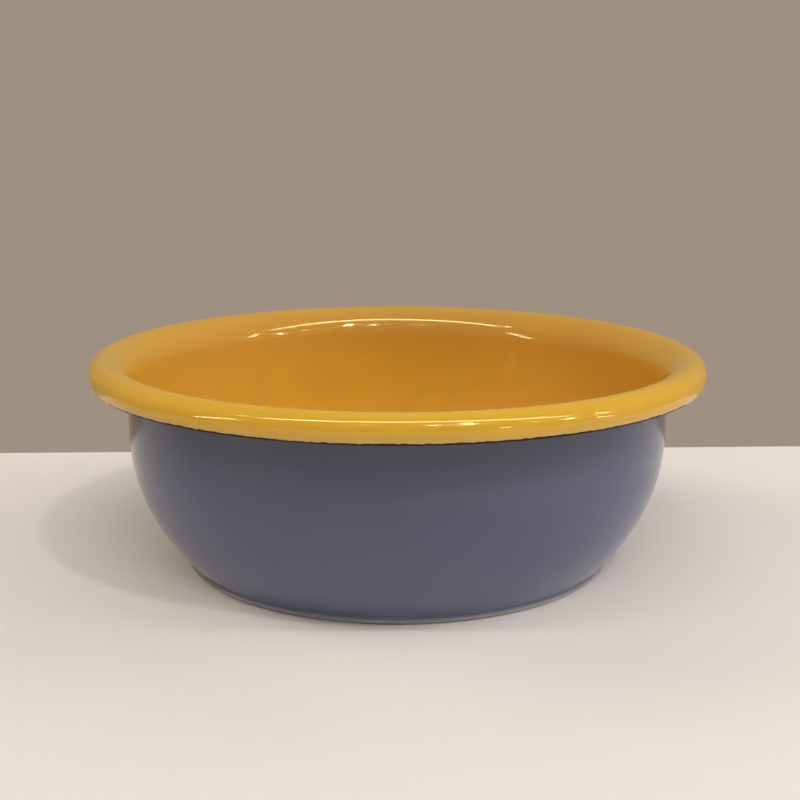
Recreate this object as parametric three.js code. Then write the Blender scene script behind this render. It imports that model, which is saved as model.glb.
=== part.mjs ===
// Enamelled steel bowl with a rolled rim and a low stepped foot.
// One pressed sheet carries four coats of fired glass: a dark ground coat on each face,
// a blue cover coat outside, and a yellow cover coat inside and over the rim.
// Millimetres, +Z up, with the origin on the table in the middle of the foot.

import * as THREE from 'three';

// Sizes, taken over the fired enamel
const BODY_DIAMETER = 140; // outside of the wall, just below the rim
const RIM_OVERHANG = 9.7; // how far the rim stands out past that wall
const HEIGHT = 55.1; // table to the top of the rim
const ROLL_DIAMETER = 7.1; // round of the rim's upper half
const FACE_RADIUS = 9; // flatter outer face below that round
const CURL_BEND = 0.5; // inside radius where the sheet curls in below the face
const TUCK_REACH = 4; // straight run of the sheet back under the rim
const LIP_RISE = 7; // height in which the wall's outside turns out into the rim
const MOUTH_REACH = 11.9; // how far the wall holds upright below the lip
const BELLY_REACH = 24.5; // how far the wall holds its slope out of the foot
const GROOVE_RADIUS = 0.6; // hollow corner between foot and wall
const FOOT_DIAMETER = 112.7; // outside of the stepped foot
const FOOT_STRAIGHT = 0.45; // upright band above the foot's rounded edge
const FOOT_BEND = 0.4; // inside radius where the base turns up into the foot
const RING_WIDTH = 5; // flat ring that the bowl stands on
const PANEL_STEP = 6; // width of the soft rise from the ring to the base panel
const PANEL_LIFT = 0.8; // base panel, clear of the table

// Angles in degrees
const WALL_SLOPE = 48.5; // the wall where it leaves the foot, up from level
const FACE_TURN = 13; // where the face meets the curl, down from the rim's widest point
const YELLOW_END = 30; // where the yellow stops on the curl, from the same point
const CURL_END = 105; // where the curl runs out into the tuck, from the same point

// Thicknesses
const STEEL_SHEET = 0.6;
const GROUND_COAT = 0.1;
const BLUE_COAT = 0.15;
const YELLOW_COAT = 0.15;

// Facets in one turn round the bowl
const TURN_FACETS = 32;

// Depth of each face, counted inwards from the blue outside
const BLUE_FACE = 0;
const OUTER_GROUND_FACE = BLUE_FACE + BLUE_COAT;
const STEEL_OUTSIDE = OUTER_GROUND_FACE + GROUND_COAT;
const STEEL_INSIDE = STEEL_OUTSIDE + STEEL_SHEET;
const INNER_GROUND_FACE = STEEL_INSIDE + GROUND_COAT;
const YELLOW_FACE = INNER_GROUND_FACE + YELLOW_COAT;

// The outside face from the middle of the base to the sheet's tucked edge, in radius and height.
// Each stretch meets the next without a corner and has its own number of facets.
function outsideStretches() {
  const bodyRadius = BODY_DIAMETER / 2;
  const footRadius = FOOT_DIAMETER / 2;
  const footBend = FOOT_BEND + YELLOW_FACE;
  const ringOuter = footRadius - footBend;
  const ringInner = ringOuter - RING_WIDTH;
  const panelEdge = ringInner - PANEL_STEP;
  const stepMiddle = ringInner - PANEL_STEP / 2;
  const footTop = footBend + FOOT_STRAIGHT;
  const rollRadius = ROLL_DIAMETER / 2;
  const rollCentre = point(bodyRadius + RIM_OVERHANG - rollRadius, HEIGHT - rollRadius);
  const faceCentre = point(rollCentre.x + rollRadius - FACE_RADIUS, rollCentre.y);
  const curlRadius = CURL_BEND + YELLOW_FACE;
  const curlCentre = arc(faceCentre, FACE_RADIUS - curlRadius, 0, -FACE_TURN).getPoint(1);
  const lipCentre = point(rollCentre.x, HEIGHT - YELLOW_FACE - LIP_RISE);
  const lipReach = lipCentre.x - bodyRadius;

  const curl = arc(curlCentre, CURL_BEND, -YELLOW_END, -CURL_END);
  const tuckStart = curl.getPoint(1);
  const tuckEnd = tuckStart.clone().addScaledVector(curl.getTangent(1), TUCK_REACH);

  const groove = arc(point(footRadius + GROOVE_RADIUS, footTop), GROOVE_RADIUS, 180, 90 + WALL_SLOPE);
  const wallFoot = groove.getPoint(1);
  const belly = wallFoot.clone().addScaledVector(groove.getTangent(1), BELLY_REACH);

  return {
    panel: { curve: line(point(0, PANEL_LIFT), point(panelEdge, PANEL_LIFT)), facets: 1 },
    step: {
      curve: new THREE.CubicBezierCurve(
        point(panelEdge, PANEL_LIFT),
        point(stepMiddle, PANEL_LIFT),
        point(stepMiddle, 0),
        point(ringInner, 0),
      ),
      facets: 1,
    },
    ring: { curve: line(point(ringInner, 0), point(ringOuter, 0)), facets: 1 },
    bend: { curve: arc(point(ringOuter, footBend), footBend, -90, 0), facets: 2 },
    foot: { curve: line(point(footRadius, footBend), point(footRadius, footTop)), facets: 1 },
    groove: { curve: groove, facets: 1 },
    wall: {
      curve: new THREE.CubicBezierCurve(
        wallFoot,
        belly,
        point(bodyRadius, lipCentre.y - MOUTH_REACH),
        point(bodyRadius, lipCentre.y),
      ),
      facets: 6,
    },
    lip: { curve: ovalArc(lipCentre, lipReach, LIP_RISE, 180, 90), facets: 4 },
    crown: { curve: arc(rollCentre, rollRadius - YELLOW_FACE, 90, 0), facets: 3 },
    face: { curve: arc(faceCentre, FACE_RADIUS - YELLOW_FACE, 0, -FACE_TURN), facets: 1 },
    skirt: { curve: arc(curlCentre, CURL_BEND, -FACE_TURN, -YELLOW_END), facets: 1 },
    curl: { curve: curl, facets: 3 },
    tuck: { curve: line(tuckStart, tuckEnd), facets: 1 },
  };
}

function point(radius, height) {
  return new THREE.Vector2(radius, height);
}

function line(from, to) {
  return new THREE.LineCurve(from, to);
}

function ovalArc(centre, halfWidth, halfHeight, fromDegrees, toDegrees) {
  const from = THREE.MathUtils.degToRad(fromDegrees);
  const to = THREE.MathUtils.degToRad(toDegrees);
  return new THREE.EllipseCurve(centre.x, centre.y, halfWidth, halfHeight, from, to, to < from);
}

function arc(centre, radius, fromDegrees, toDegrees) {
  return ovalArc(centre, radius, radius, fromDegrees, toDegrees);
}

// A place on the outside face, and the way from it into the sheet
function station(curve, share) {
  const along = curve.getTangent(share);
  return { place: curve.getPoint(share), inwards: point(-along.y, along.x) };
}

// All stations in order, and the number of stations up to the end of each stretch
function sampleStretches(stretches) {
  const stations = [station(stretches.panel.curve, 0)];
  const countTo = {};
  for (const [name, { curve, facets }] of Object.entries(stretches)) {
    for (let i = 1; i <= facets; i += 1) {
      stations.push(station(curve, i / facets));
    }
    countTo[name] = stations.length;
  }
  return { stations, countTo };
}

const { stations, countTo } = sampleStretches(outsideStretches());

// One turned layer between two depths, from the middle of the base to the end of a stretch.
// Neighbouring layers share the stations, so they lie face to face.
function layer(name, outerDepth, innerDepth, lastStretch, finish) {
  const covered = stations.slice(0, countTo[lastStretch]);
  const faceAt = (depth) =>
    covered.map(({ place, inwards }) => place.clone().addScaledVector(inwards, depth));
  const outline = [...faceAt(outerDepth), ...faceAt(innerDepth).reverse()];
  const geometry = new THREE.LatheGeometry(outline, TURN_FACETS);
  geometry.rotateX(Math.PI / 2);
  const mesh = new THREE.Mesh(geometry, new THREE.MeshStandardMaterial(finish));
  mesh.name = name;
  return mesh;
}

const BLUE_ENAMEL = { color: 0x52515f, roughness: 0.12, metalness: 0 };
const YELLOW_ENAMEL = { color: 0xd6a839, roughness: 0.1, metalness: 0 };
const GROUND_ENAMEL = { color: 0x2b2019, roughness: 0.3, metalness: 0 };
const BARE_STEEL = { color: 0x8d8b88, roughness: 0.45, metalness: 1 };

const bowl = new THREE.Group();
bowl.add(
  layer('blue_cover_coat', BLUE_FACE, OUTER_GROUND_FACE, 'lip', BLUE_ENAMEL),
  layer('outer_ground_coat', OUTER_GROUND_FACE, STEEL_OUTSIDE, 'tuck', GROUND_ENAMEL),
  layer('steel_shell', STEEL_OUTSIDE, STEEL_INSIDE, 'tuck', BARE_STEEL),
  layer('inner_ground_coat', STEEL_INSIDE, INNER_GROUND_FACE, 'tuck', GROUND_ENAMEL),
  layer('yellow_cover_coat', INNER_GROUND_FACE, YELLOW_FACE, 'skirt', YELLOW_ENAMEL),
);

export default bowl;
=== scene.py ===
"""Enamel bowl: one pressed steel sheet under four coats of fired glass.

The bowl is turned from one line, its outside face from the middle of the base to the edge of
the sheet that is tucked in under the rolled rim. Each piece lies between two depths below
that face, so the sheet and its coats nest without gaps. Metres, +Z up, origin on the table.
"""

import math

import bmesh
import bpy
from bpy.props import FloatProperty, FloatVectorProperty, IntProperty, PointerProperty
from mathutils import Matrix, Vector


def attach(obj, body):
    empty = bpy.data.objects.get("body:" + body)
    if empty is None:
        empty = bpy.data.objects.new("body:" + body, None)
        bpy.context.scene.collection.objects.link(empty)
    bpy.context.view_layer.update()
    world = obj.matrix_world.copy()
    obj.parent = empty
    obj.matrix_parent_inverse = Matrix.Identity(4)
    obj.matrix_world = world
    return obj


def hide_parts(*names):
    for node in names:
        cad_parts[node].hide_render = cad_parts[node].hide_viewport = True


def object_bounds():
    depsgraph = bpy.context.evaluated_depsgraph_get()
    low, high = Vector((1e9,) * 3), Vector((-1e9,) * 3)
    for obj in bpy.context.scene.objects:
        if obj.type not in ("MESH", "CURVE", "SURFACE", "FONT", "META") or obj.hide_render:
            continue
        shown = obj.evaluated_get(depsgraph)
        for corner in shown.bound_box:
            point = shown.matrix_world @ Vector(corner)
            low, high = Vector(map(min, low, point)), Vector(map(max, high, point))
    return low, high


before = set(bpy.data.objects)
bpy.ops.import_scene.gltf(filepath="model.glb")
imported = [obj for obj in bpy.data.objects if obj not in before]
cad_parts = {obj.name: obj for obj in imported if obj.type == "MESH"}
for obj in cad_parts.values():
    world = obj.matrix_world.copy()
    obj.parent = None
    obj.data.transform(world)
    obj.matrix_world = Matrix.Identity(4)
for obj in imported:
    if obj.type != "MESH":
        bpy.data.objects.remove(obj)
CAD_LOW, CAD_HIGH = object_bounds()
MOUTH = Vector((0.0, 0.0, CAD_HIGH.z))  # middle of the bowl's mouth

bl_info = {
    "name": "Enamel Bowl",
    "version": (1, 0, 0),
    "blender": (4, 5, 0),
    "location": "3D View > Sidebar > Enamel Bowl",
    "description": "Builds an enamelled steel bowl coat by coat, on a plain stage",
    "category": "Add Mesh",
}

BODY = "root"

# Steps of the mesh along each stretch of the bowl's line
STRETCH_STEPS = {
    "panel": 2,
    "step": 6,
    "ring": 1,
    "bend": 5,
    "foot": 1,
    "groove": 3,
    "wall": 20,
    "lip": 20,
    "crown": 10,
    "face": 6,
    "skirt": 12,
    "curl": 10,
    "tuck": 3,
}
EDGE_STEPS = 6  # steps over half of a coat's rounded edge
BURIED_STRIDE = 3  # a face that lies on another coat keeps one station in so many
WELD = 2e-7  # points closer than this are one point

# Where the finishes change, in metres
RIM_START, RIM_FULL = 0.040, 0.050  # the inside turns into the rim
RIM_FRONT, RIM_BACK = -0.075, 0.075  # the rim's nearest and furthest part along Y
RIM_OUTSIDE = 0.075  # the rim's outer face lies beyond this radius
RIGHT_START, RIGHT_FULL = 0.0, 0.08  # painted shade: the yellow deepens to the right, along X
LEFT_START, LEFT_FULL = -0.015, -0.065  # painted shade: it deepens less to the left
REFLECTION_START, REFLECTION_FULL = 0.0504, 0.0491  # painted reflection of the table: the yellow is paler under the rim
SHADE_START, SHADE_FULL = 0.030, 0.008  # painted shade: the blue is darker below the rim and lighter towards the foot
RING_INSIDE = 0.049  # the ring that the bowl stands on lies beyond this radius
WORN_AND_REFLECTING_TOP = 0.0018  # the foot is worn pale below this height, with a painted reflection of the table
# Where they change, as shares
BURNT_START, BURNT_FULL = 0.94, 1.02  # the yellow is burnt on the last of the way to its edge
NOISE_LOW, NOISE_HIGH = 0.3, 0.7  # most of a noise texture lies between these values

# The long lamp above the front: its middle from the middle of the bowl's mouth, and its size
STRIP_MIDDLE = (0.24, -0.49, 1.03)
STRIP_HALF_LENGTH = 1.11
STRIP_WIDTH = 0.03
# Lamps that only show as highlights along the rim: start, end and width in metres, and strength
GLINTS = (
    ((-1.03, -0.70, 1.08), (0.25, -0.575, 1.08), 0.1, 1.0),
    ((0.25, -0.575, 1.08), (1.62, -0.73, 1.08), 0.1, 1.0),
    ((-1.01, -0.35, 0.035), (-0.85, -0.571, 0.361), 0.05, 1.0),
    ((-0.742, -0.351, 0.71), (-0.694, -0.372, 0.749), 0.06, 1.0),
    ((0.948, -0.281, 0.444), (1.015, -0.245, 0.261), 0.04, 1.0),
    ((1.009, -0.364, 0.069), (1.037, -0.228, -0.053), 0.03, 1.0),
    ((-0.211, -0.843, 0.669), (-0.171, -0.851, 0.669), 0.05, 1.0),
    ((0.17, -0.858, 0.655), (0.23, -0.849, 0.655), 0.09, 1.5),
    ((0.362, -0.784, 0.669), (0.404, -0.763, 0.669), 0.17, 3.5),
    ((0.532, -0.79, 0.07), (0.567, -0.76, 0.07), 0.06, 1.3),
    ((0.72, -0.68, 0.444), (0.75, -0.65, 0.444), 0.06, 1.0),
    ((0.88, -0.54, 0.312), (0.905, -0.495, 0.312), 0.12, 1.5),
)
# Soft lamps that leave no highlight: distance from the bowl's mouth in metres, azimuth from the
# camera's side to the right and elevation in degrees, width in metres, watts, and tint
PANELS = {
    "key_lamp": (1.5, 30, 51.6, 0.08, 3.1, None),
    "front_panel": (0.95, 5, 44, 0.4, 1.6, None),
    "front_sky": (1.2, 0, 60, 1.0, 1.6, None),
    "right_panel": (0.95, 90, 25, 0.4, 1.9, None),
    "right_low_panel": (0.95, 90, 6, 0.4, 1.7, "right_tint"),
    "right_back_panel": (0.95, 115, 25, 0.4, 1.2, None),
    "back_panel": (1.2, 180, 40, 1.0, 1.75, None),
    "left_panel": (1.2, -90, 30, 1.0, 2.5, "left_tint"),
    "left_back_panel": (0.95, -103, 36, 0.4, 1.8, "left_tint"),
}
ROOM_END, WALL_START = -0.2, 0.4  # way along Y where the mirrored room gives way to the wall
PAINT_SHADE = 0.975  # how dark the mottle in the table's paint is beside its colour
MIX_A, MIX_B, MIX_RESULT = 6, 7, 2  # the colour sockets of a mix node
SENSOR_WIDTH = 36.0  # of the camera, in millimetres
VIEW_RANGE = (0.01, 20.0)  # nearest and furthest that the camera sees, in metres


def length(name, description, default):
    """A size that a user may set."""
    return FloatProperty(
        name=name,
        description=description,
        default=default,
        min=0.0,
        precision=5,
        subtype="DISTANCE",
        unit="LENGTH",
    )


def angle(name, description, default_degrees):
    """An angle that a user may set."""
    return FloatProperty(
        name=name,
        description=description,
        default=math.radians(default_degrees),
        subtype="ANGLE",
        unit="ROTATION",
    )


def colour(name, description, default):
    """A linear colour that a user may set."""
    return FloatVectorProperty(
        name=name,
        description=description,
        default=default,
        size=3,
        min=0.0,
        max=1.0,
        subtype="COLOR",
    )


def power(name, description, default):
    """A lamp's power in watts."""
    return FloatProperty(
        name=name, description=description, default=default, min=0.0, unit="POWER"
    )


def level(name, description, default):
    """A plain amount that a user may set."""
    return FloatProperty(name=name, description=description, default=default, min=0.0)


def turn_count(name, description, default):
    """A number of mesh steps in one turn round the bowl."""
    return IntProperty(name=name, description=description, default=default, min=24)


class EnamelBowlSizes(bpy.types.PropertyGroup):
    """Sizes of the bowl, taken over the fired enamel."""

    rim_diameter: length("Rim diameter", "Across the rolled rim", CAD_HIGH.x - CAD_LOW.x)
    height: length("Height", "Table to the top of the rim", CAD_HIGH.z - CAD_LOW.z)
    body_diameter: length("Body diameter", "Outside of the wall, just below the rim", 0.140)
    roll_diameter: length("Roll diameter", "The round of the rim's upper half", 0.0071)
    face_radius: length("Face radius", "The flatter outer face below that round", 0.009)
    curl_bend: length("Curl bend", "Inside radius where the sheet curls in below the face", 0.0005)
    tuck_reach: length("Tuck reach", "Straight run of the sheet back under the rim", 0.004)
    lip_rise: length("Lip rise", "Height in which the wall turns out into the rim", 0.007)
    mouth_reach: length("Mouth reach", "How far the wall holds upright below the lip", 0.0119)
    belly_reach: length("Belly reach", "How far the wall holds its slope out of the foot", 0.0245)
    groove_radius: length("Groove radius", "Hollow corner between foot and wall", 0.0006)
    foot_diameter: length("Foot diameter", "Outside of the stepped foot", 0.1127)
    foot_straight: length("Foot band", "Upright band above the foot's rounded edge", 0.00045)
    foot_bend: length("Foot bend", "Inside radius where the base turns up", 0.0004)
    ring_width: length("Ring width", "Flat ring that the bowl stands on", 0.005)
    panel_step: length("Panel step", "Width of the soft rise to the base panel", 0.006)
    panel_lift: length("Panel lift", "Base panel, clear of the table", 0.0008)
    wall_slope: angle("Wall slope", "The wall where it leaves the foot, up from level", 48.5)
    face_turn: angle("Face turn", "Where the face meets the curl, down from the widest point", 13)
    yellow_end: angle("Yellow end", "Where the yellow stops on the curl, from the same point", 30)
    curl_end: angle("Curl end", "Where the curl runs out into the tuck, from the same point", 105)
    blue_coat: length("Blue coat", "Thickness of the blue cover coat", 0.00015)
    ground_coat: length("Ground coat", "Thickness of each dark ground coat", 0.0001)
    steel_sheet: length("Steel sheet", "Thickness of the pressed sheet", 0.0006)
    yellow_coat: length("Yellow coat", "Thickness of the yellow cover coat", 0.00015)
    edge_taper: length("Edge taper", "Width over which a coat thins out to its edge", 0.0003)
    edge_reach: length("Edge reach", "How far back from a coat's edge its wander is felt", 0.0016)
    edge_wander: length("Edge wander", "How far the yellow's edge strays in long waves", 0.00022)
    edge_teeth: length("Edge teeth", "How far the yellow's edge strays in short teeth", 0.0005)
    turn_steps: turn_count("Turn steps", "Mesh steps round the other pieces", 360)
    fine_turn_steps: turn_count("Fine turn steps", "Mesh steps round the yellow coat", 730)


class EnamelBowlColours(bpy.types.PropertyGroup):
    """Colours of the bowl's finishes."""

    yellow: colour("Yellow", "Yellow cover enamel", (0.745, 0.416, 0.034))
    # The deep yellow is mixed in by random clouds and as painted shade at the back of the rim and
    # on both sides of the inside
    yellow_shade_and_tone: colour("Deep yellow", "Yellow that was fired hotter", (0.595, 0.307, 0.050))
    # The pale yellow is a painted reflection of the table on the rim's underside
    yellow_painted_reflection: colour("Thin yellow", "Yellow that thins out under the rim", (0.62, 0.43, 0.19))
    # Painted shade: the blue goes from this lighter blue at the foot to the darker blue below the
    # rim
    blue: colour("Blue", "Blue that has run down to the foot", (0.116, 0.129, 0.220))
    blue_shade_and_tone: colour("Deep blue", "Blue below the rim", (0.098, 0.108, 0.183))
    # The worn blue is wear on the foot and a painted reflection of the table
    blue_worn_and_reflecting: colour("Worn blue", "Blue worn pale and grey on the foot", (0.66, 0.64, 0.65))
    blue_speck: colour("Blue speck", "Pale specks in the blue", (0.35, 0.35, 0.38))
    ground: colour("Ground", "Dark ground enamel", (0.042, 0.024, 0.006))
    rust: colour("Burnt edge", "Bare ground enamel and the cut edge", (0.075, 0.042, 0.010))
    steel: colour("Steel", "Pressed sheet", (0.42, 0.41, 0.39))


class EnamelBowlStage(bpy.types.PropertyGroup):
    """Table, backdrop, lamps and camera."""

    table_colour: colour("Table", "Pale table", (0.856, 0.786, 0.726))
    backdrop_colour: colour("Backdrop", "Plain backdrop", (0.345, 0.279, 0.222))
    table_back: length("Table back", "From the bowl's middle to the back of the table", 0.1069)
    table_front: length("Table front", "From the bowl's middle to the front of the table", 0.9)
    table_side: length("Table side", "From the bowl's middle to either side of the table", 0.28)
    table_turn: angle("Table turn", "How far the table is turned to the left", 2.14)
    table_thickness: length("Table thickness", "Thickness of the table board", 0.012)
    table_edge: length("Table edge", "Bevel along the edges of the table board", 0.0008)
    mirror_front: colour("Mirrored room", "Room in front of the table", (0.22, 0.172, 0.115))
    mirror_back: colour("Mirrored wall", "Wall behind the table", (0.375, 0.285, 0.17))
    fill_level: level("Fill level", "Even light from all round", 0.03)
    strip_power: power("Strip power", "Long lamp above the front", 5.7)
    panel_level: level("Panel level", "Level of the soft lamps", 1.0)
    left_tint: colour("Left tint", "Colour of the light from the left", (1.0, 0.91, 0.78))
    right_tint: colour("Right tint", "Colour of the light from the right", (1.0, 0.95, 0.93))
    glint_radiance: level("Glint radiance", "Radiance of the highlights' lamps", 22.0)
    glint_colour: colour("Glint colour", "Colour of the highlights", (1.0, 0.95, 0.5))
    camera_distance: length("Camera distance", "In front of the bowl's middle", 0.344875)
    camera_height: length("Camera height", "Above the table", 0.116671)
    camera_pitch: angle("Camera pitch", "How far the camera looks down", 12.359)
    camera_yaw: angle("Camera yaw", "How far the camera looks to the right", 0.111)
    camera_roll: angle("Camera roll", "How far the camera leans", 0.080)
    camera_lens: FloatProperty(
        name="Camera lens", description="Focal length", default=59.775, min=1.0, unit="CAMERA"
    )


# Curves in radius and height. Each gives, for a share from 0 to 1, a place and the way onward.


def line(start, end):
    way = (end - start).normalized()
    return lambda share: (start.lerp(end, share), way)


def oval_arc(centre, half_width, half_height, start, end):
    def at(share):
        turn = start + (end - start) * share
        place = centre + Vector((half_width * math.cos(turn), half_height * math.sin(turn)))
        way = Vector((-half_width * math.sin(turn), half_height * math.cos(turn)))
        return place, way.normalized() * math.copysign(1.0, end - start)

    return at


def arc(centre, radius, start, end):
    return oval_arc(centre, radius, radius, start, end)


def bend_between(a, b, c, d):
    """A cubic curve from a to d that leaves towards b and comes in from c."""

    def at(share):
        rest = 1.0 - share
        place = rest**3 * a + 3 * rest**2 * share * b + 3 * rest * share**2 * c + share**3 * d
        way = rest**2 * (b - a) + 2 * rest * share * (c - b) + share**2 * (d - c)
        return place, way.normalized()

    return at


def depths(sizes):
    """Depth of each face, counted inwards from the blue outside."""
    outer_ground = sizes.blue_coat
    steel_outside = outer_ground + sizes.ground_coat
    steel_inside = steel_outside + sizes.steel_sheet
    inner_ground = steel_inside + sizes.ground_coat
    return {
        "blue": 0.0,
        "outer_ground": outer_ground,
        "steel_outside": steel_outside,
        "steel_inside": steel_inside,
        "inner_ground": inner_ground,
        "yellow": inner_ground + sizes.yellow_coat,
    }


def bowl_line(sizes):
    """The outside face from the middle of the base to the tucked edge, stretch by stretch."""
    thickness = depths(sizes)["yellow"]
    body = sizes.body_diameter / 2
    foot = sizes.foot_diameter / 2
    foot_bend = sizes.foot_bend + thickness
    ring_outer = foot - foot_bend
    ring_inner = ring_outer - sizes.ring_width
    panel_edge = ring_inner - sizes.panel_step
    step_middle = ring_inner - sizes.panel_step / 2
    foot_top = foot_bend + sizes.foot_straight
    roll = sizes.roll_diameter / 2
    roll_centre = Vector((sizes.rim_diameter / 2 - roll, sizes.height - roll))
    face_centre = roll_centre - Vector((sizes.face_radius - roll, 0))
    curl = sizes.curl_bend + thickness
    face_way = Vector((math.cos(sizes.face_turn), -math.sin(sizes.face_turn)))
    curl_centre = face_centre + (sizes.face_radius - curl) * face_way
    curled = arc(curl_centre, sizes.curl_bend, -sizes.yellow_end, -sizes.curl_end)
    tuck_start, tuck_way = curled(1.0)
    lip_centre = Vector((roll_centre.x, sizes.height - thickness - sizes.lip_rise))
    groove = arc(
        Vector((foot + sizes.groove_radius, foot_top)),
        sizes.groove_radius,
        math.pi,
        math.pi / 2 + sizes.wall_slope,
    )
    wall_foot, wall_way = groove(1.0)
    return {
        "panel": line(Vector((0, sizes.panel_lift)), Vector((panel_edge, sizes.panel_lift))),
        "step": bend_between(
            Vector((panel_edge, sizes.panel_lift)),
            Vector((step_middle, sizes.panel_lift)),
            Vector((step_middle, 0)),
            Vector((ring_inner, 0)),
        ),
        "ring": line(Vector((ring_inner, 0)), Vector((ring_outer, 0))),
        "bend": arc(Vector((ring_outer, foot_bend)), foot_bend, -math.pi / 2, 0.0),
        "foot": line(Vector((foot, foot_bend)), Vector((foot, foot_top))),
        "groove": groove,
        "wall": bend_between(
            wall_foot,
            wall_foot + wall_way * sizes.belly_reach,
            Vector((body, lip_centre.y - sizes.mouth_reach)),
            Vector((body, lip_centre.y)),
        ),
        "lip": oval_arc(lip_centre, lip_centre.x - body, sizes.lip_rise, math.pi, math.pi / 2),
        "crown": arc(roll_centre, roll - thickness, math.pi / 2, 0.0),
        "face": arc(face_centre, sizes.face_radius - thickness, 0.0, -sizes.face_turn),
        "skirt": arc(curl_centre, sizes.curl_bend, -sizes.face_turn, -sizes.yellow_end),
        "curl": curled,
        "tuck": line(tuck_start, tuck_start + tuck_way * sizes.tuck_reach),
    }


def at_depth(curve, share, depth):
    """The place that lies so deep below a curve, and the way onward there."""
    place, way = curve(share)
    return place + depth * Vector((-way.y, way.x)), way


def run_length(curve, depth, pieces=48):
    """How long a curve is at a depth."""
    spots = [at_depth(curve, step / pieces, depth)[0] for step in range(pieces + 1)]
    return sum((b - a).length for a, b in zip(spots, spots[1:]))


def coat_section(sizes, outer, inner, tip, last, buried):
    """The closed section of one coat: out along its outer face, over its rounded edge, and back.

    Returns the points, and beside each the way that its edge may stray: a vector along the
    bowl's line that grows from nothing to one over the last stretch.
    """
    stretches = bowl_line(sizes)
    names = list(stretches)
    covered = names[: names.index(last) + 1]
    end = stretches[last]
    span = run_length(end, tip)
    taper_start = 1.0 - sizes.edge_taper / span
    reach = min(sizes.edge_reach / span, 1.0)

    def spot(curve, share, depth):
        place, way = at_depth(curve, share, depth)
        pull = 0.0
        if curve is end:
            pull = min(max((share - 1.0 + reach) / reach, 0.0), 1.0)
        return place, way * pull * pull * (3.0 - 2.0 * pull)

    stations = [(stretches[covered[0]], 0.0)]
    for name in covered:
        steps = STRETCH_STEPS[name]
        full = taper_start if name == last else 1.0
        stations += [(stretches[name], full * step / steps) for step in range(1, steps + 1)]
    sparse = [
        station
        for number, station in enumerate(stations)
        if number % BURIED_STRIDE == 0 or station[0] is end
    ]
    rounding = [math.pi / 2 * step / EDGE_STEPS for step in range(1, EDGE_STEPS + 1)]

    def face(depth):
        along = sparse if depth in buried else stations
        return [spot(curve, share, depth) for curve, share in along]

    def edge(depth):
        return [
            spot(
                end,
                taper_start + (1.0 - taper_start) * math.sin(turn),
                tip + (depth - tip) * math.cos(turn),
            )
            for turn in rounding
        ]

    return face(outer) + edge(outer) + edge(inner)[-2::-1] + face(inner)[::-1]


def section_mesh(name, spots):
    """The section as a chain of points in the XZ plane, with the edge's stray as an attribute."""
    mesh = bpy.data.meshes.new(name)
    points = [(place.x, 0.0, place.y) for place, _ in spots]
    mesh.from_pydata(points, [(i, i + 1) for i in range(len(points) - 1)], [])
    stray = mesh.attributes.new("stray", "FLOAT_VECTOR", "POINT")
    for item, (_, way) in zip(stray.data, spots):
        item.vector = (way.x, 0.0, way.y)
    return mesh


def add_node(tree, kind, inputs=None, **settings):
    """One node. An input is a plain value, or the socket that feeds it."""
    node = tree.nodes.new(kind)
    for key, value in settings.items():
        setattr(node, key, value)
    for key, value in (inputs or {}).items():
        if isinstance(value, bpy.types.NodeSocket):
            tree.links.new(value, node.inputs[key])
        else:
            node.inputs[key].default_value = value
    return node


def reckon(tree, operation, a, b=0.0, c=0.0):
    return add_node(tree, "ShaderNodeMath", {0: a, 1: b, 2: c}, operation=operation).outputs[0]


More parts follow.
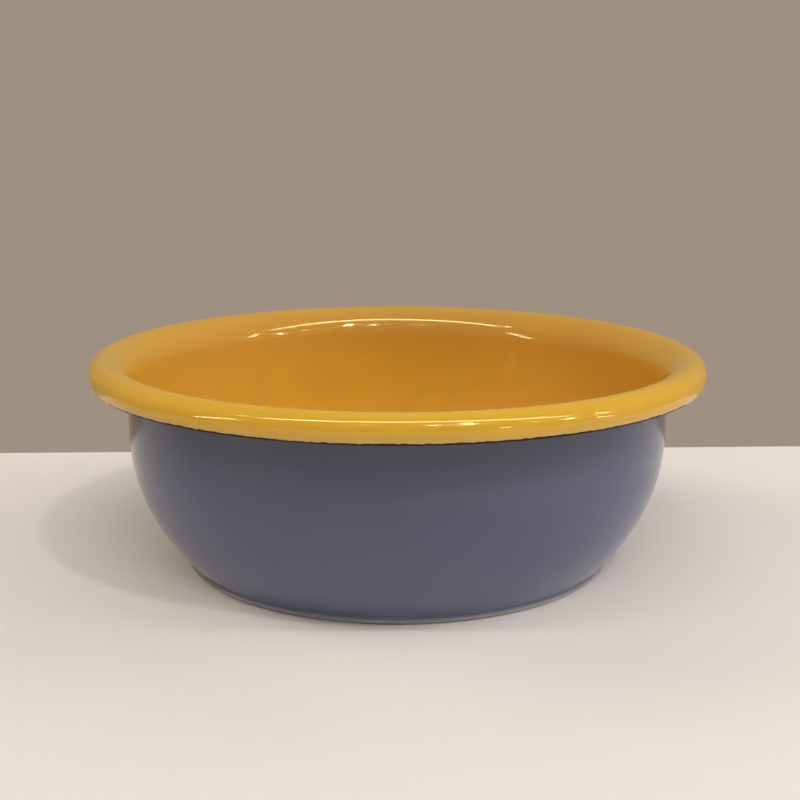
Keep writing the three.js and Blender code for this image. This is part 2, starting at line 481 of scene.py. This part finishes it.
def turned_coat_tree():
    """Geometry Nodes that turn a section once round the Z axis and let its edge stray."""
    tree = bpy.data.node_groups.new("Turned coat", "GeometryNodeTree")
    for name, kind in (
        ("Section", "NodeSocketGeometry"),
        ("Turn Steps", "NodeSocketInt"),
        ("Edge Wander", "NodeSocketFloat"),
        ("Waves in a Turn", "NodeSocketFloat"),
        ("Edge Teeth", "NodeSocketFloat"),
        ("Teeth in a Turn", "NodeSocketFloat"),
        ("Seed", "NodeSocketFloat"),
        ("Finish", "NodeSocketMaterial"),
    ):
        tree.interface.new_socket(name, in_out="INPUT", socket_type=kind)
    tree.interface.new_socket("Coat", in_out="OUTPUT", socket_type="NodeSocketGeometry")
    given = add_node(tree, "NodeGroupInput").outputs

    def whole(operation, a, b):
        node = add_node(tree, "FunctionNodeIntegerMath", {0: a, 1: b}, operation=operation)
        return node.outputs[0]

    # A grid with a row for each point of the section and a column for each step of the turn
    size = add_node(tree, "GeometryNodeAttributeDomainSize", {"Geometry": given["Section"]})
    columns = whole("ADD", given["Turn Steps"], 1)
    grid = add_node(
        tree,
        "GeometryNodeMeshGrid",
        {"Vertices X": size.outputs["Point Count"], "Vertices Y": columns},
    )
    index = add_node(tree, "GeometryNodeInputIndex").outputs[0]
    row = whole("DIVIDE_FLOOR", index, columns)
    column = whole("MODULO", whole("MODULO", index, columns), given["Turn Steps"])
    turn = reckon(tree, "DIVIDE", reckon(tree, "MULTIPLY", column, math.tau), given["Turn Steps"])

    def of_section(field):
        return add_node(
            tree,
            "GeometryNodeSampleIndex",
            {"Geometry": given["Section"], "Value": field, "Index": row},
            data_type="FLOAT_VECTOR",
        ).outputs[0]

    place = of_section(add_node(tree, "GeometryNodeInputPosition").outputs[0])
    stray = of_section(
        add_node(
            tree, "GeometryNodeInputNamedAttribute", {"Name": "stray"}, data_type="FLOAT_VECTOR"
        ).outputs[0]
    )

    # Noise on a circle, so that the edge closes on itself after a full turn
    circle = add_node(
        tree,
        "ShaderNodeCombineXYZ",
        {0: reckon(tree, "COSINE", turn), 1: reckon(tree, "SINE", turn)},
    ).outputs[0]

    def wavering(size, count):
        wave = add_node(
            tree,
            "ShaderNodeTexNoise",
            {
                "Vector": circle,
                "W": given["Seed"],
                "Scale": reckon(tree, "DIVIDE", count, math.tau),
                "Detail": 1.0,
            },
            noise_dimensions="4D",
        ).outputs[0]
        both_ways = reckon(tree, "MULTIPLY_ADD", wave, 2.0, -1.0)
        return reckon(tree, "MULTIPLY", both_ways, size)

    waver = reckon(
        tree,
        "ADD",
        wavering(given["Edge Wander"], given["Waves in a Turn"]),
        wavering(given["Edge Teeth"], given["Teeth in a Turn"]),
    )
    strayed = add_node(
        tree, "ShaderNodeVectorMath", {0: stray, 1: waver, 2: place}, operation="MULTIPLY_ADD"
    ).outputs[0]
    turned = add_node(
        tree, "ShaderNodeVectorRotate", {"Vector": strayed, "Angle": turn}, rotation_type="Z_AXIS"
    ).outputs[0]
    edge = add_node(tree, "ShaderNodeVectorMath", {0: stray}, operation="LENGTH").outputs["Value"]
    marked = add_node(
        tree,
        "GeometryNodeStoreNamedAttribute",
        {"Geometry": grid.outputs["Mesh"], "Name": "edge", "Value": edge},
        data_type="FLOAT",
    )
    shaped = add_node(
        tree, "GeometryNodeSetPosition", {"Geometry": marked.outputs[0], "Position": turned}
    )
    welded = add_node(
        tree, "GeometryNodeMergeByDistance", {"Geometry": shaped.outputs[0], "Distance": WELD}
    )
    smooth = add_node(tree, "GeometryNodeSetShadeSmooth", {"Geometry": welded.outputs[0]})
    real = add_node(tree, "GeometryNodeRealizeInstances", {"Geometry": smooth.outputs[0]})
    finished = add_node(
        tree,
        "GeometryNodeSetMaterial",
        {"Geometry": real.outputs[0], "Material": given["Finish"]},
    )
    add_node(tree, "NodeGroupOutput", {"Coat": finished.outputs[0]})
    return tree


def turned_coat(name, node, section, inputs):
    """One coat turned from its section, standing for a CAD node. Inputs go to the tree by name."""
    tree = bpy.data.node_groups.get("Turned coat") or turned_coat_tree()
    piece = bpy.data.objects.new(name, section_mesh(name, section))
    bpy.context.scene.collection.objects.link(piece)
    modifier = piece.modifiers.new("Turned coat", "NODES")
    modifier.node_group = tree
    identifiers = {item.name: item.identifier for item in tree.interface.items_tree}
    for input_name, value in inputs.items():
        modifier[identifiers[input_name]] = value
    graph = bpy.context.evaluated_depsgraph_get()
    mesh = bpy.data.meshes.new_from_object(piece.evaluated_get(graph), depsgraph=graph)
    if not mesh.polygons:
        raise RuntimeError(f"{name} came out empty")
    piece.modifiers.clear()
    piece.data = mesh
    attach(piece, BODY)
    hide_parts(node)


# Materials


def new_material(name):
    material = bpy.data.materials.new(name)
    material.use_nodes = True
    material.node_tree.nodes.clear()
    return material, material.node_tree


def rgba(value):
    """A colour for a socket: three numbers get an alpha, and a linked socket stays as it is."""
    return value if isinstance(value, bpy.types.NodeSocket) else (*value, 1.0)


def mixed(tree, factor, a, b):
    """Two colours mixed by a factor."""
    inputs = {"Factor": factor, MIX_A: rgba(a), MIX_B: rgba(b)}
    return add_node(tree, "ShaderNodeMix", inputs, data_type="RGBA").outputs[MIX_RESULT]


def ranged(tree, value, low, high, to_low=0.0, to_high=1.0):
    """A value moved from one range to another, and held inside it."""
    inputs = {
        "Value": value,
        "From Min": low,
        "From Max": high,
        "To Min": to_low,
        "To Max": to_high,
    }
    return add_node(tree, "ShaderNodeMapRange", inputs).outputs[0]


def noise(tree, coords, scale, detail):
    inputs = {"Vector": coords, "Scale": scale, "Detail": detail}
    return add_node(tree, "ShaderNodeTexNoise", inputs).outputs[0]


def mottle(tree, coords, scale, detail, low, high):
    """Noise that wanders between two values."""
    wander = noise(tree, coords, scale, detail)
    return ranged(tree, wander, NOISE_LOW, NOISE_HIGH, low, high)


def object_coords(tree):
    return add_node(tree, "ShaderNodeTexCoord").outputs["Object"]


def beyond(tree, x, y, radius):
    """1 further than a radius from the bowl's axis, and 0 nearer."""
    across = reckon(tree, "ADD", reckon(tree, "MULTIPLY", x, x), reckon(tree, "MULTIPLY", y, y))
    return reckon(tree, "GREATER_THAN", across, radius * radius)


def specks(tree, coords, scale, radius, share, strength):
    """Round specks in a share of the cells of a random grid: strength inside them, 0 outside."""
    cells = add_node(tree, "ShaderNodeTexVoronoi", {"Vector": coords, "Scale": scale})
    full, none = 0.5 * radius * scale, radius * scale
    near = ranged(tree, cells.outputs["Distance"], none, full, to_high=strength)
    pick = add_node(tree, "ShaderNodeSeparateColor", {0: cells.outputs["Color"]}).outputs[0]
    return reckon(tree, "MULTIPLY", near, reckon(tree, "LESS_THAN", pick, share))


def bump(tree, height, distance, normal=None):
    inputs = {"Height": height, "Distance": distance, "Strength": 1.0}
    if normal is not None:
        inputs["Normal"] = normal
    return add_node(tree, "ShaderNodeBump", inputs).outputs[0]


def surface(tree, inputs):
    """The surface of a material: one shader with these sockets set."""
    shader = add_node(tree, "ShaderNodeBsdfPrincipled", inputs)
    add_node(tree, "ShaderNodeOutputMaterial", {0: shader.outputs[0]})


def fired_ripple(tree, coords):
    """The slow ripple and fine orange peel of glass that has flowed in the kiln."""
    flow = noise(tree, coords, scale=55.0, detail=1.0)
    peel = noise(tree, coords, scale=420.0, detail=1.0)
    return bump(tree, peel, distance=1.6e-6, normal=bump(tree, flow, distance=1.1e-5))


def yellow_enamel(colours):
    material, tree = new_material("Yellow enamel")
    coords = object_coords(tree)
    x, y, z = add_node(tree, "ShaderNodeSeparateXYZ", {0: coords}).outputs

    # Painted shade: the colour is deeper at the back of the rim and on both sides of the inside,
    # lighter at the front of the rim, with random clouds
    clouds = mottle(tree, coords, scale=60.0, detail=3.0, low=0.22, high=0.38)
    rim = ranged(tree, z, RIM_START, RIM_FULL)
    painted_front_back_shade = ranged(tree, y, RIM_FRONT, RIM_BACK, to_low=-0.3, to_high=0.7)
    along = reckon(tree, "MULTIPLY", rim, painted_front_back_shade)
    right = ranged(tree, x, RIGHT_START, RIGHT_FULL, to_high=0.6)
    left = ranged(tree, x, LEFT_START, LEFT_FULL, to_high=0.25)
    inside = ranged(tree, rim, 0.0, 1.0, to_low=1.0, to_high=0.25)
    painted_side_shade = reckon(tree, "MULTIPLY", inside, reckon(tree, "ADD", right, left))
    # painted shade at the rim and the sides, plus random clouds of tone
    fired = reckon(tree, "ADD", reckon(tree, "ADD", along, painted_side_shade), clouds)
    base = mixed(tree, fired, colours.yellow, colours.yellow_shade_and_tone)

    # It is paler under the rim as a painted reflection of the table, has a few pinholes, and is
    # burnt along its frayed edge
    outside = beyond(tree, x, y, RIM_OUTSIDE)
    # painted reflection of the table on the rim's outer underside
    under = ranged(tree, z, REFLECTION_START, REFLECTION_FULL, to_high=0.8)
    base = mixed(tree, reckon(tree, "MULTIPLY", outside, under), base, colours.yellow_painted_reflection)
    pinholes = specks(tree, coords, scale=130.0, radius=0.00016, share=0.06, strength=0.6)
    base = mixed(tree, pinholes, base, colours.rust)
    edge = add_node(tree, "ShaderNodeAttribute", attribute_name="edge").outputs["Fac"]
    fray = mottle(tree, coords, scale=1300.0, detail=3.0, low=-0.2, high=0.2)
    burnt = ranged(tree, reckon(tree, "ADD", edge, fray), BURNT_START, BURNT_FULL)
    base = mixed(tree, burnt, base, colours.rust)

    wiped = mottle(tree, coords, scale=38.0, detail=4.0, low=0.07, high=0.13)
    surface(tree, {"Base Color": base, "Roughness": wiped, "Normal": fired_ripple(tree, coords)})
    return material


def blue_enamel(colours):
    material, tree = new_material("Blue enamel")
    coords = object_coords(tree)
    x, y, z = add_node(tree, "ShaderNodeSeparateXYZ", {0: coords}).outputs

    # Painted shade: the blue is darker below the rim and lighter towards the foot, with random
    # clouds. The foot is worn pale, with a painted reflection of the table
    clouds = mottle(tree, coords, scale=48.0, detail=3.0, low=-0.12, high=0.12)
    # painted shade by height, plus random clouds of tone
    run = reckon(tree, "ADD", ranged(tree, z, SHADE_START, SHADE_FULL), clouds)
    base = mixed(tree, run, colours.blue_shade_and_tone, colours.blue)
    ring = beyond(tree, x, y, RING_INSIDE)
    # wear on the foot ring, and a painted reflection of the table
    worn = reckon(tree, "MULTIPLY", ring, ranged(tree, z, WORN_AND_REFLECTING_TOP, 0.0))
    scuffs = mottle(tree, coords, scale=260.0, detail=3.0, low=0.75, high=1.0)
    base = mixed(tree, reckon(tree, "MULTIPLY", worn, scuffs), base, colours.blue_worn_and_reflecting)
    pale = specks(tree, coords, scale=90.0, radius=0.00018, share=0.03, strength=0.5)
    base = mixed(tree, pale, base, colours.blue_speck)

    wiped = mottle(tree, coords, scale=30.0, detail=4.0, low=0.10, high=0.18)
    surface(tree, {"Base Color": base, "Roughness": wiped, "Normal": fired_ripple(tree, coords)})
    return material


def ground_enamel(colours):
    material, tree = new_material("Ground enamel")
    coords = object_coords(tree)
    burnt = ranged(tree, noise(tree, coords, scale=700.0, detail=4.0), low=0.4, high=0.7)
    grain = noise(tree, coords, scale=1200.0, detail=3.0)
    inputs = {
        "Base Color": mixed(tree, burnt, colours.ground, colours.rust),
        "Roughness": mottle(tree, coords, scale=900.0, detail=3.0, low=0.7, high=0.9),
        "Normal": bump(tree, grain, distance=4.0e-5),
        "Specular IOR Level": 0.08,
    }
    surface(tree, inputs)
    return material


def pressed_steel(colours):
    material, tree = new_material("Pressed steel")
    coords = object_coords(tree)
    rusty = ranged(tree, noise(tree, coords, scale=300.0, detail=4.0), low=0.45, high=0.7)
    inputs = {
        "Base Color": mixed(tree, rusty, colours.steel, colours.rust),
        "Roughness": mottle(tree, coords, scale=500.0, detail=3.0, low=0.35, high=0.6),
        "Metallic": 1.0,
    }
    surface(tree, inputs)
    return material


def table_paint(stage):
    """A plain matt paint with a faint mottle."""
    material, tree = new_material("Table paint")
    shade = tuple(part * PAINT_SHADE for part in stage.table_colour)
    spread = mottle(tree, object_coords(tree), scale=14.0, detail=4.0, low=0.0, high=1.0)
    base = mixed(tree, spread, shade, stage.table_colour)
    surface(tree, {"Base Color": base, "Roughness": 0.5, "Specular IOR Level": 0.2})
    return material


def glow(base_colour, radiance):
    """Plain light for what only shows in reflections, so it takes no samples from the lamps."""
    material, tree = new_material("Glow")
    shader = add_node(
        tree, "ShaderNodeEmission", {"Color": rgba(base_colour), "Strength": radiance}
    )
    add_node(tree, "ShaderNodeOutputMaterial", {0: shader.outputs[0]})
    material.cycles.emission_sampling = "NONE"
    return material


# Stage


def stage_object(name, mesh, material):
    obj = bpy.data.objects.new(name, mesh)
    obj.data.materials.append(material)
    bpy.context.scene.collection.objects.link(obj)
    return obj


def table_mesh(stage):
    """A board whose top is the table, with its back edge a little way behind the bowl."""
    mesh = bpy.data.meshes.new("table")
    work = bmesh.new()
    bmesh.ops.create_cube(work, size=1.0)
    depth = stage.table_front + stage.table_back
    scale = Matrix.Diagonal((2 * stage.table_side, depth, stage.table_thickness, 1.0))
    middle = Vector((0, stage.table_back - depth / 2, -stage.table_thickness / 2))
    place = Matrix.Rotation(stage.table_turn, 4, "Z") @ Matrix.Translation(middle) @ scale
    bmesh.ops.transform(work, matrix=place, verts=work.verts)
    bmesh.ops.bevel(work, geom=work.edges, offset=stage.table_edge, segments=3, affect="EDGES")
    work.to_mesh(mesh)
    work.free()
    return mesh


def seen_from_bowl(distance, azimuth, elevation):
    """A place round the bowl's mouth. Azimuth turns from the camera's side to the right."""
    turn, rise = math.radians(azimuth), math.radians(elevation)
    level_way = Vector((math.sin(turn), -math.cos(turn), 0.0))
    return MOUTH + distance * (math.cos(rise) * level_way + Vector((0.0, 0.0, math.sin(rise))))


def area_lamp(name, start, end, width, watts):
    """A flat lamp from start to end that faces the bowl's mouth and leaves no highlight."""
    data = bpy.data.lights.new(name, "AREA")
    data.shape = "RECTANGLE"
    data.size = (end - start).length
    data.size_y = width
    data.energy = watts
    middle = (start + end) / 2
    along = (end - start).normalized()
    back = middle - MOUTH
    back = (back - along * back.dot(along)).normalized()
    turned = Matrix((along, back.cross(along), back)).transposed().to_4x4()
    lamp = bpy.data.objects.new(name, data)
    lamp.matrix_world = Matrix.Translation(middle) @ turned
    lamp.visible_camera = False
    lamp.visible_glossy = False
    bpy.context.scene.collection.objects.link(lamp)
    return lamp


def front_strip(stage):
    """The long lamp above the front."""
    middle = MOUTH + Vector(STRIP_MIDDLE)
    half = Vector((STRIP_HALF_LENGTH, 0.0, 0.0))
    area_lamp("front_strip", middle - half, middle + half, STRIP_WIDTH, stage.strip_power)


def soft_panel(name, stage):
    """A square lamp."""
    distance, azimuth, elevation, width, watts, tint = PANELS[name]
    middle = seen_from_bowl(distance, azimuth, elevation)
    half = Vector((-middle.y, middle.x, 0.0)).normalized() * width / 2
    lamp = area_lamp(name, middle - half, middle + half, width, watts * stage.panel_level)
    if tint:
        lamp.data.color = getattr(stage, tint)


def glint(number, stage):
    """A glowing strip that faces the bowl's mouth and only shows as a highlight in the enamel."""
    start, end, width, strength = GLINTS[number]
    start, end = Vector(start), Vector(end)
    back = (start + end) / 2 - MOUTH
    half = back.cross(end - start).normalized() * width / 2
    mesh = bpy.data.meshes.new(f"glint_{number}")
    mesh.from_pydata([start - half, end - half, end + half, start + half], [], [(0, 1, 2, 3)])
    light = glow(stage.glint_colour, strength * stage.glint_radiance)
    strip = stage_object(mesh.name, mesh, light)
    strip.visible_camera = False
    strip.visible_diffuse = False
    strip.visible_shadow = False


def light_world(stage):
    """The backdrop for the camera, the room for reflections, and an even fill for other light."""
    world = bpy.data.worlds.new("Backdrop and fill")
    world.use_nodes = True
    tree = world.node_tree
    tree.nodes.clear()
    ray = add_node(tree, "ShaderNodeLightPath").outputs
    mirrored = reckon(tree, "MAXIMUM", ray["Is Glossy Ray"], ray["Is Transmission Ray"])
    way = add_node(tree, "ShaderNodeTexCoord").outputs["Generated"]
    onward = add_node(tree, "ShaderNodeSeparateXYZ", {0: way}).outputs["Y"]
    behind = ranged(tree, onward, ROOM_END, WALL_START)
    room = mixed(tree, behind, stage.mirror_front, stage.mirror_back)
    lit = mixed(tree, mirrored, (stage.fill_level,) * 3, room)
    shade = mixed(tree, ray["Is Camera Ray"], lit, stage.backdrop_colour)
    background = add_node(tree, "ShaderNodeBackground", {"Color": shade})
    add_node(tree, "ShaderNodeOutputWorld", {0: background.outputs[0]})
    bpy.context.scene.world = world


def place_camera(stage):
    data = bpy.data.cameras.new("Camera")
    data.lens = stage.camera_lens
    data.sensor_width = SENSOR_WIDTH
    data.clip_start, data.clip_end = VIEW_RANGE
    camera = bpy.data.objects.new("Camera", data)
    camera.matrix_world = (
        Matrix.Translation((0, -stage.camera_distance, stage.camera_height))
        @ Matrix.Rotation(-stage.camera_yaw, 4, "Z")
        @ Matrix.Rotation(math.pi / 2 - stage.camera_pitch, 4, "X")
        @ Matrix.Rotation(stage.camera_roll, 4, "Z")
    )
    bpy.context.scene.collection.objects.link(camera)
    bpy.context.scene.camera = camera


class ENAMEL_BOWL_OT_steel_shell(bpy.types.Operator):
    """Presses the sheet: base, foot, wall, lip and rolled rim in one piece"""

    bl_idname = "enamel_bowl.steel_shell"
    bl_label = "Steel Shell"

    def execute(self, context):
        sizes = context.scene.enamel_bowl_sizes
        face = depths(sizes)
        outer, inner = face["steel_outside"], face["steel_inside"]
        turned_coat(
            "pressed_steel_shell",
            "steel_shell",
            coat_section(sizes, outer, inner, (outer + inner) / 2, "tuck", (outer, inner)),
            {
                "Turn Steps": sizes.turn_steps,
                "Finish": pressed_steel(context.scene.enamel_bowl_colours),
            },
        )
        return {"FINISHED"}


class ENAMEL_BOWL_OT_ground_coats(bpy.types.Operator):
    """Lays the dark ground coat on both faces of the sheet"""

    bl_idname = "enamel_bowl.ground_coats"
    bl_label = "Ground Coats"

    def execute(self, context):
        sizes = context.scene.enamel_bowl_sizes
        face = depths(sizes)
        finish = ground_enamel(context.scene.enamel_bowl_colours)
        for name, node, free, steel in (
            ("outer_ground_enamel", "outer_ground_coat", "outer_ground", "steel_outside"),
            ("inner_ground_enamel", "inner_ground_coat", "inner_ground", "steel_inside"),
        ):
            outer, inner = sorted((face[free], face[steel]))
            turned_coat(
                name,
                node,
                coat_section(sizes, outer, inner, face[steel], "tuck", (face[steel],)),
                {
                    "Turn Steps": sizes.turn_steps,
                    "Edge Wander": sizes.edge_wander / 2,
                    "Waves in a Turn": 60.0,
                    "Seed": 3.0,
                    "Finish": finish,
                },
            )
        return {"FINISHED"}


class ENAMEL_BOWL_OT_blue_coat(bpy.types.Operator):
    """Lays the blue cover coat on the underside, the foot and the wall"""

    bl_idname = "enamel_bowl.blue_coat"
    bl_label = "Blue Cover Coat"

    def execute(self, context):
        sizes = context.scene.enamel_bowl_sizes
        face = depths(sizes)
        outer, inner = face["blue"], face["outer_ground"]
        turned_coat(
            "blue_enamel_coat",
            "blue_cover_coat",
            coat_section(sizes, outer, inner, inner, "lip", (inner,)),
            {
                "Turn Steps": sizes.turn_steps,
                "Edge Wander": sizes.edge_wander,
                "Waves in a Turn": 40.0,
                "Seed": 5.0,
                "Finish": blue_enamel(context.scene.enamel_bowl_colours),
            },
        )
        return {"FINISHED"}


class ENAMEL_BOWL_OT_yellow_coat(bpy.types.Operator):
    """Lays the yellow cover coat inside and over the rim, to a ragged edge under the roll"""

    bl_idname = "enamel_bowl.yellow_coat"
    bl_label = "Yellow Cover Coat"

    def execute(self, context):
        sizes = context.scene.enamel_bowl_sizes
        face = depths(sizes)
        outer, inner = face["inner_ground"], face["yellow"]
        turned_coat(
            "yellow_enamel_coat",
            "yellow_cover_coat",
            coat_section(sizes, outer, inner, outer, "skirt", (outer,)),
            {
                "Turn Steps": sizes.fine_turn_steps,
                "Edge Wander": sizes.edge_wander,
                "Waves in a Turn": 36.0,
                "Edge Teeth": sizes.edge_teeth,
                "Teeth in a Turn": 340.0,
                "Seed": 11.0,
                "Finish": yellow_enamel(context.scene.enamel_bowl_colours),
            },
        )
        return {"FINISHED"}


class ENAMEL_BOWL_OT_stage(bpy.types.Operator):
    """Sets the table, the backdrop, the lamps and the camera"""

    bl_idname = "enamel_bowl.stage"
    bl_label = "Stage"

    def execute(self, context):
        stage = context.scene.enamel_bowl_stage
        stage_object("table", table_mesh(stage), table_paint(stage))
        front_strip(stage)
        for name in PANELS:
            soft_panel(name, stage)
        for number in range(len(GLINTS)):
            glint(number, stage)
        light_world(stage)
        place_camera(stage)
        context.scene.view_settings.view_transform = "Standard"
        return {"FINISHED"}


OPERATORS = (
    ENAMEL_BOWL_OT_steel_shell,
    ENAMEL_BOWL_OT_ground_coats,
    ENAMEL_BOWL_OT_blue_coat,
    ENAMEL_BOWL_OT_yellow_coat,
    ENAMEL_BOWL_OT_stage,
)
SETTINGS = {
    "enamel_bowl_sizes": EnamelBowlSizes,
    "enamel_bowl_colours": EnamelBowlColours,
    "enamel_bowl_stage": EnamelBowlStage,
}


class VIEW3D_PT_enamel_bowl(bpy.types.Panel):
    """The bowl's pieces, and the settings behind them"""

    bl_label = "Enamel Bowl"
    bl_space_type = "VIEW_3D"
    bl_region_type = "UI"
    bl_category = "Enamel Bowl"

    def draw(self, context):
        for operator in OPERATORS:
            self.layout.operator(operator.bl_idname)
        for name, group in SETTINGS.items():
            box = self.layout.box()
            for setting in group.__annotations__:
                box.prop(getattr(context.scene, name), setting)


CLASSES = (*SETTINGS.values(), *OPERATORS, VIEW3D_PT_enamel_bowl)


def register():
    for cls in CLASSES:
        bpy.utils.register_class(cls)
    for name, group in SETTINGS.items():
        setattr(bpy.types.Scene, name, PointerProperty(type=group))


def unregister():
    for name in SETTINGS:
        delattr(bpy.types.Scene, name)
    for cls in reversed(CLASSES):
        bpy.utils.unregister_class(cls)


def main():
    register()
    bpy.ops.enamel_bowl.steel_shell()
    bpy.ops.enamel_bowl.ground_coats()
    bpy.ops.enamel_bowl.blue_coat()
    bpy.ops.enamel_bowl.yellow_coat()
    bpy.ops.enamel_bowl.stage()


if __name__ == "__main__":
    main()
